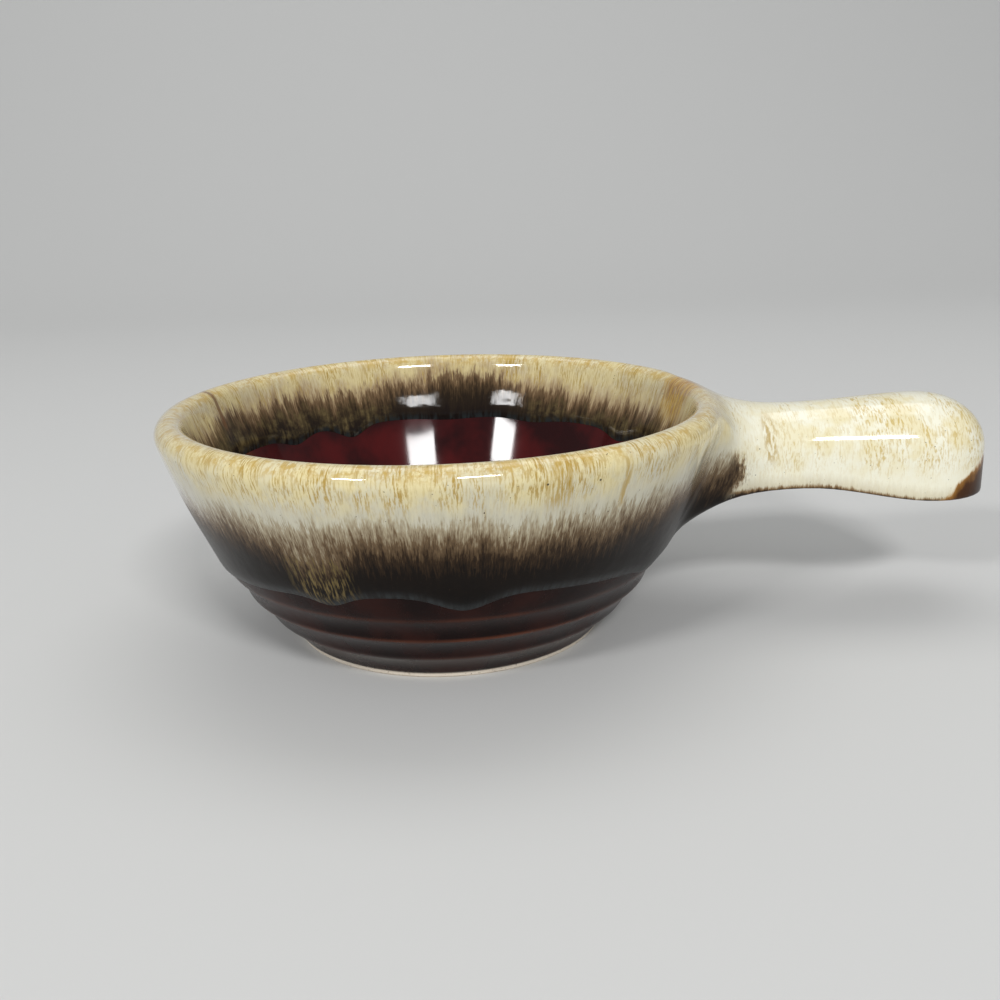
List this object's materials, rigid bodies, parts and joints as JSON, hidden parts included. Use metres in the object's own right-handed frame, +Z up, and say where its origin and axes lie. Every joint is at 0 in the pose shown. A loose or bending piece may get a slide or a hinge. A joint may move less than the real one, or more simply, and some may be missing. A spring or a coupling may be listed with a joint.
{
  "type": "handled soup bowl",
  "caption": "Glazed stoneware soup bowl with a flared wall, turned foot ridges and a stick handle luted to its side, brown inside and below a cream drip glaze.",
  "frame": {"origin": "centre of the foot ring on the plane that the bowl stands on", "axes": "+Z up along the bowl's axis, +X along the handle towards its tip, +Y to the left of the handle"},
  "size_m": [0.1952, 0.13, 0.0544],
  "materials": {
    "bare_clay": "matte fired stoneware",
    "slip": "matte fired slip",
    "brown_glaze": "glossy",
    "drip_glaze": "glossy"
  },
  "bodies": {
    "root": {"bowl_body": "bare_clay", "handle": "bare_clay", "luting_slip": "slip", "inner_glaze": "brown_glaze", "outer_glaze": "brown_glaze", "recess_glaze": "brown_glaze", "drip_glaze": "drip_glaze"}
  },
  "joints": []
}
